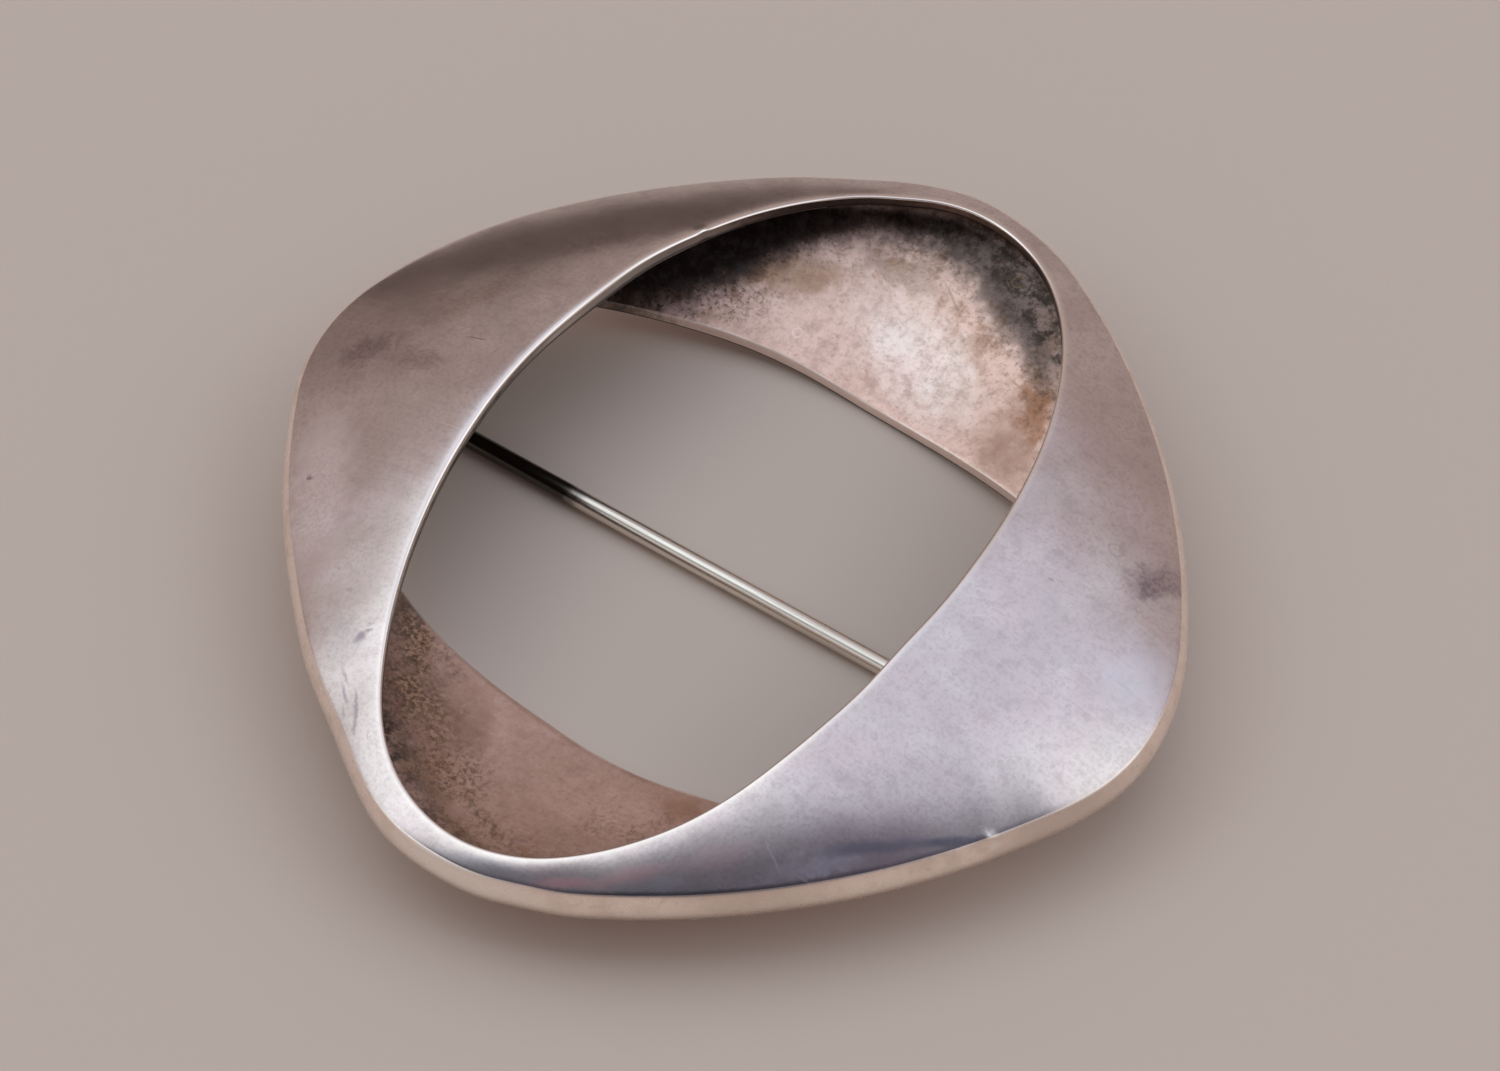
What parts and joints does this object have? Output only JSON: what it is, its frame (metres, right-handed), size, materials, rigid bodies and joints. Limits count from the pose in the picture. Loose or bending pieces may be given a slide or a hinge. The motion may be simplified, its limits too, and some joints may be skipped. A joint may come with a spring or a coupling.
{
  "type": "brooch",
  "caption": "Silver brooch of two domed sheets back to back, with crossing oval openings and a hinged pin behind them.",
  "frame": {"origin": "centre of the brooch, on the surface that it lies on, back down", "axes": "+Z out through the front, +X along the pin from its hinge to its catch, +Y across the pin"},
  "size_m": [0.0546, 0.0546, 0.0099],
  "materials": {
    "silver": "satin silver, worn smooth and mottled with tarnish",
    "pin_silver": "drawn silver wire, dulled"
  },
  "bodies": {
    "frame": {"brooch_body": "silver", "hinge_rivet": "pin_silver"},
    "pin": {"pin_stem": "pin_silver"}
  },
  "joints": [
    {"name": "pin_hinge", "type": "hinge", "parent": "frame", "child": "pin", "pos_m": [-0.02271, -0.0004, 0.00145], "axis": [0, 1, 0], "range_deg": [0, 85]}
  ]
}
